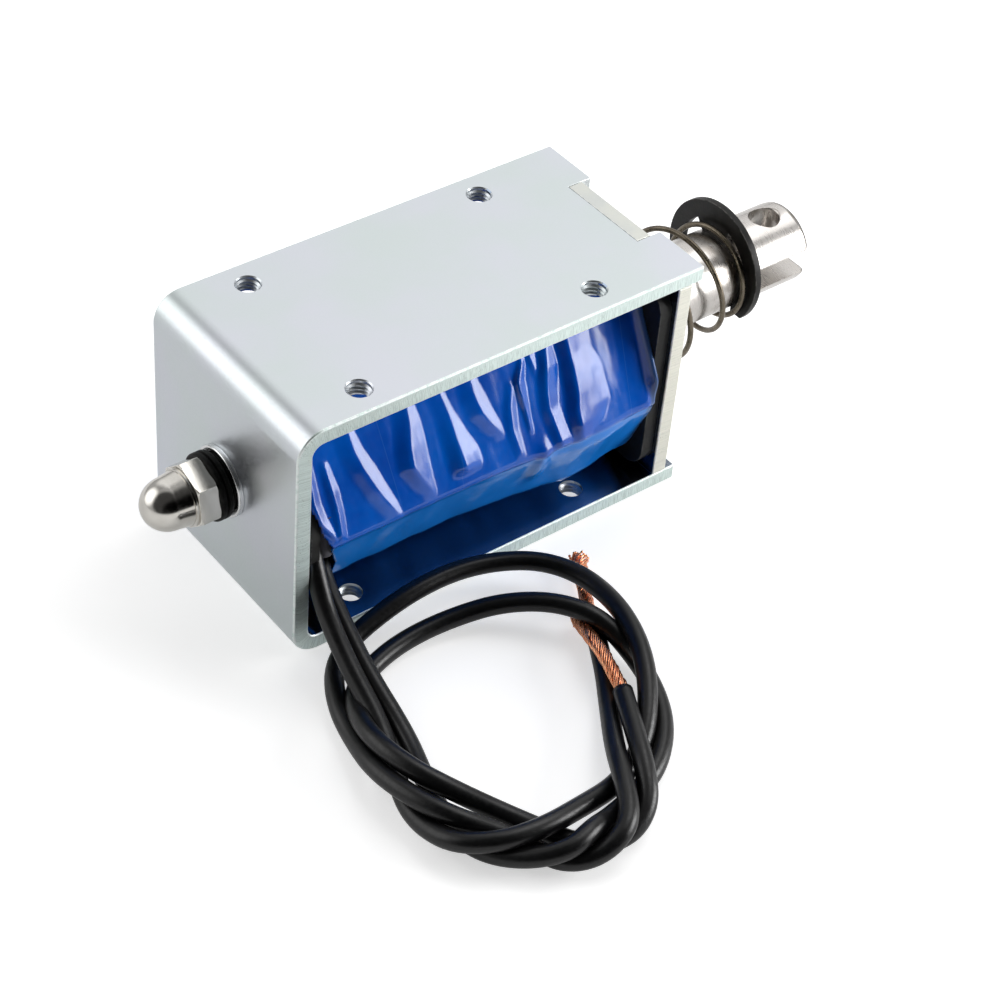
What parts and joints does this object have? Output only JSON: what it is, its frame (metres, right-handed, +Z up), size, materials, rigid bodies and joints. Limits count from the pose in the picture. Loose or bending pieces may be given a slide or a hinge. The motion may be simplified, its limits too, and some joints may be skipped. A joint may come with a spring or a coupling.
{
  "type": "push pull solenoid",
  "caption": "Open-frame push pull solenoid: a spring-returned plunger with a slotted clevis at one end and a domed push rod at the other.",
  "frame": {"origin": "centre of the base's four-hole pattern, on the underside of the frame", "axes": "+X along the plunger towards its clevis, +Z up through the frame, -Y towards the open side where the leads come out"},
  "size_m": [0.1317, 0.1007, 0.045],
  "materials": {
    "zinc_steel": "satin zinc plate, faintly mottled",
    "plate_steel": "satin zinc plate, sheared edges",
    "core_steel": "turned steel",
    "guide_brass": "drawn brass",
    "bobbin_plastic": "moulded dark nylon",
    "winding_copper": "enamelled copper wire",
    "blue_tape": "glossy blue polyester tape, wrinkled",
    "joint_sleeve": "insulating sleeve",
    "black_pvc": "soft black PVC jacket",
    "bare_copper": "bare stranded copper",
    "nickel_plunger": "bright nickel plate",
    "rod_steel": "ground stainless steel",
    "nickel_nut": "bright nickel plate",
    "black_rubber": "black rubber",
    "black_clip": "black oxide spring steel",
    "spring_wire": "oiled spring wire"
  },
  "bodies": {
    "frame": {"frame": "zinc_steel", "front_plate": "plate_steel", "fixed_core": "core_steel", "gap_shim": "guide_brass", "guide_tube": "guide_brass", "bobbin": "bobbin_plastic", "winding": "winding_copper", "tape_wrap": "blue_tape", "lead_joint_a": "joint_sleeve", "lead_joint_b": "joint_sleeve", "lead_a": "black_pvc", "lead_b": "black_pvc", "lead_a_conductor": "bare_copper", "lead_b_conductor": "bare_copper", "seat_washer": "black_rubber", "return_spring": "spring_wire"},
    "clip": {"e_clip": "black_clip"},
    "armature": {"plunger": "nickel_plunger", "push_rod": "rod_steel", "acorn_nut": "nickel_nut", "stop_buffer": "black_rubber"}
  },
  "joints": [
    {"name": "plunger_slide", "type": "slide", "parent": "frame", "child": "clip", "axis": [-1, 0, 0], "range_m": [0, 0.01], "stiffness_N_per_m": 400, "springref_m": -0.004, "deforming": ["return_spring"]},
    {"name": "plunger_spin", "type": "hinge", "parent": "clip", "child": "armature", "pos_m": [0.0651, 0, 0.0225], "axis": [1, 0, 0], "continuous": true}
  ]
}
